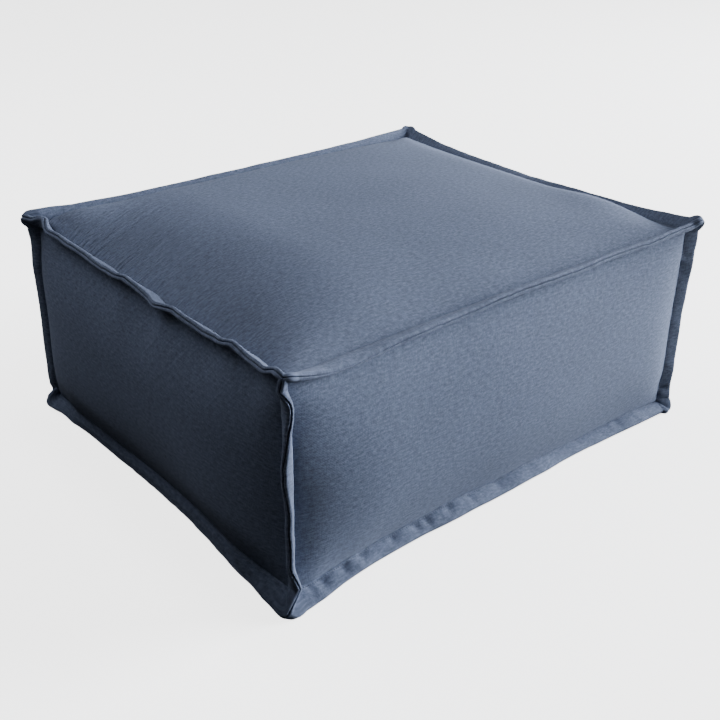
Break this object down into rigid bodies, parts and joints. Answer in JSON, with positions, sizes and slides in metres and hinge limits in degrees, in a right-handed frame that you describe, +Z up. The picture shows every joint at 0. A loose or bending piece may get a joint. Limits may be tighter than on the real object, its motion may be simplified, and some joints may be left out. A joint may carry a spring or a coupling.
{
  "type": "modular sofa ottoman",
  "caption": "Rectangular cloth-covered sofa ottoman with a crowned top, bulging sides and wide topstitched flange seams along every edge.",
  "frame": {"origin": "middle of the underside, on the floor", "axes": "+X along the long side, +Z up, and the long front side faces -Y"},
  "size_m": [0.9076, 0.7576, 0.4205],
  "materials": {
    "cover_cloth": "matte heathered weave"
  },
  "bodies": {
    "root": {"filled_body": "cover_cloth", "top_panel_margin": "cover_cloth", "bottom_panel_margin": "cover_cloth", "front_panel_margin": "cover_cloth", "back_panel_margin": "cover_cloth", "left_panel_margin": "cover_cloth", "right_panel_margin": "cover_cloth"}
  },
  "joints": []
}
